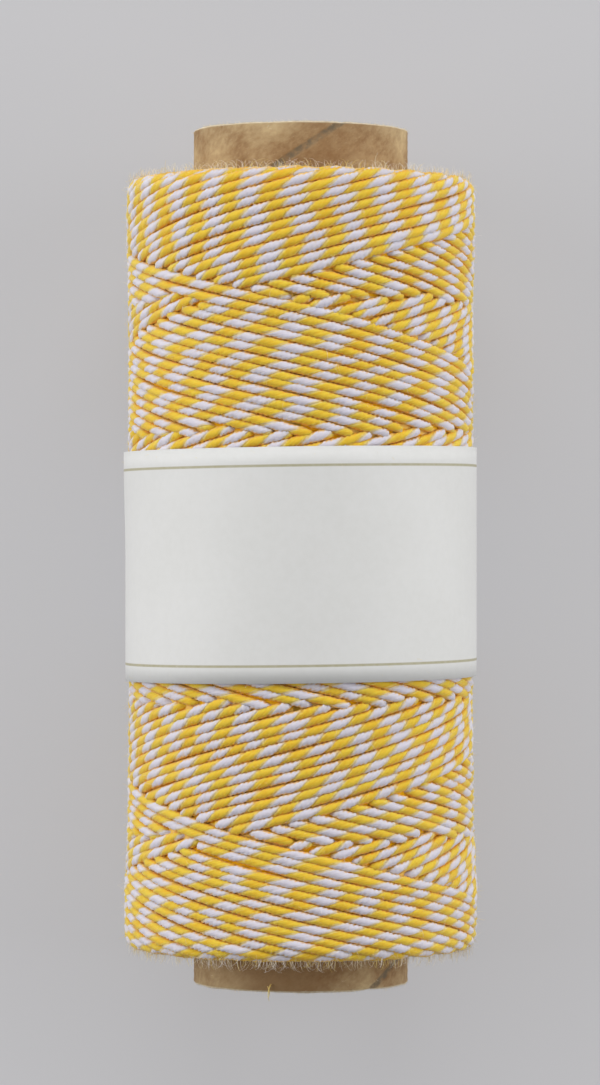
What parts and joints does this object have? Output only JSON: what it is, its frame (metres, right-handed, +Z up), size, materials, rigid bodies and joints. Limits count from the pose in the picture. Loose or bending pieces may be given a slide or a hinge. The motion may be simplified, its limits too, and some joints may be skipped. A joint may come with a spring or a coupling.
{
  "type": "spool of bakers twine",
  "caption": "Two-ply yellow and white cotton twine cross-wound on a cardboard tube, with a plain paper band, lying on its side.",
  "frame": {"origin": "on the resting plane, under the middle of the spool's bounding box", "axes": "+Y along the tube, +Z up from the resting plane"},
  "size_m": [0.047, 0.1136, 0.0461],
  "materials": {
    "kraft_board": "matt brown board, spiral wound",
    "cotton_twine": "matt two-ply cotton, one yellow ply and one white ply",
    "band_paper": "smooth off-white paper with two thin olive lines"
  },
  "bodies": {
    "root": {"core_tube": "kraft_board", "twine_winding": "cotton_twine", "label_band": "band_paper"}
  },
  "joints": []
}
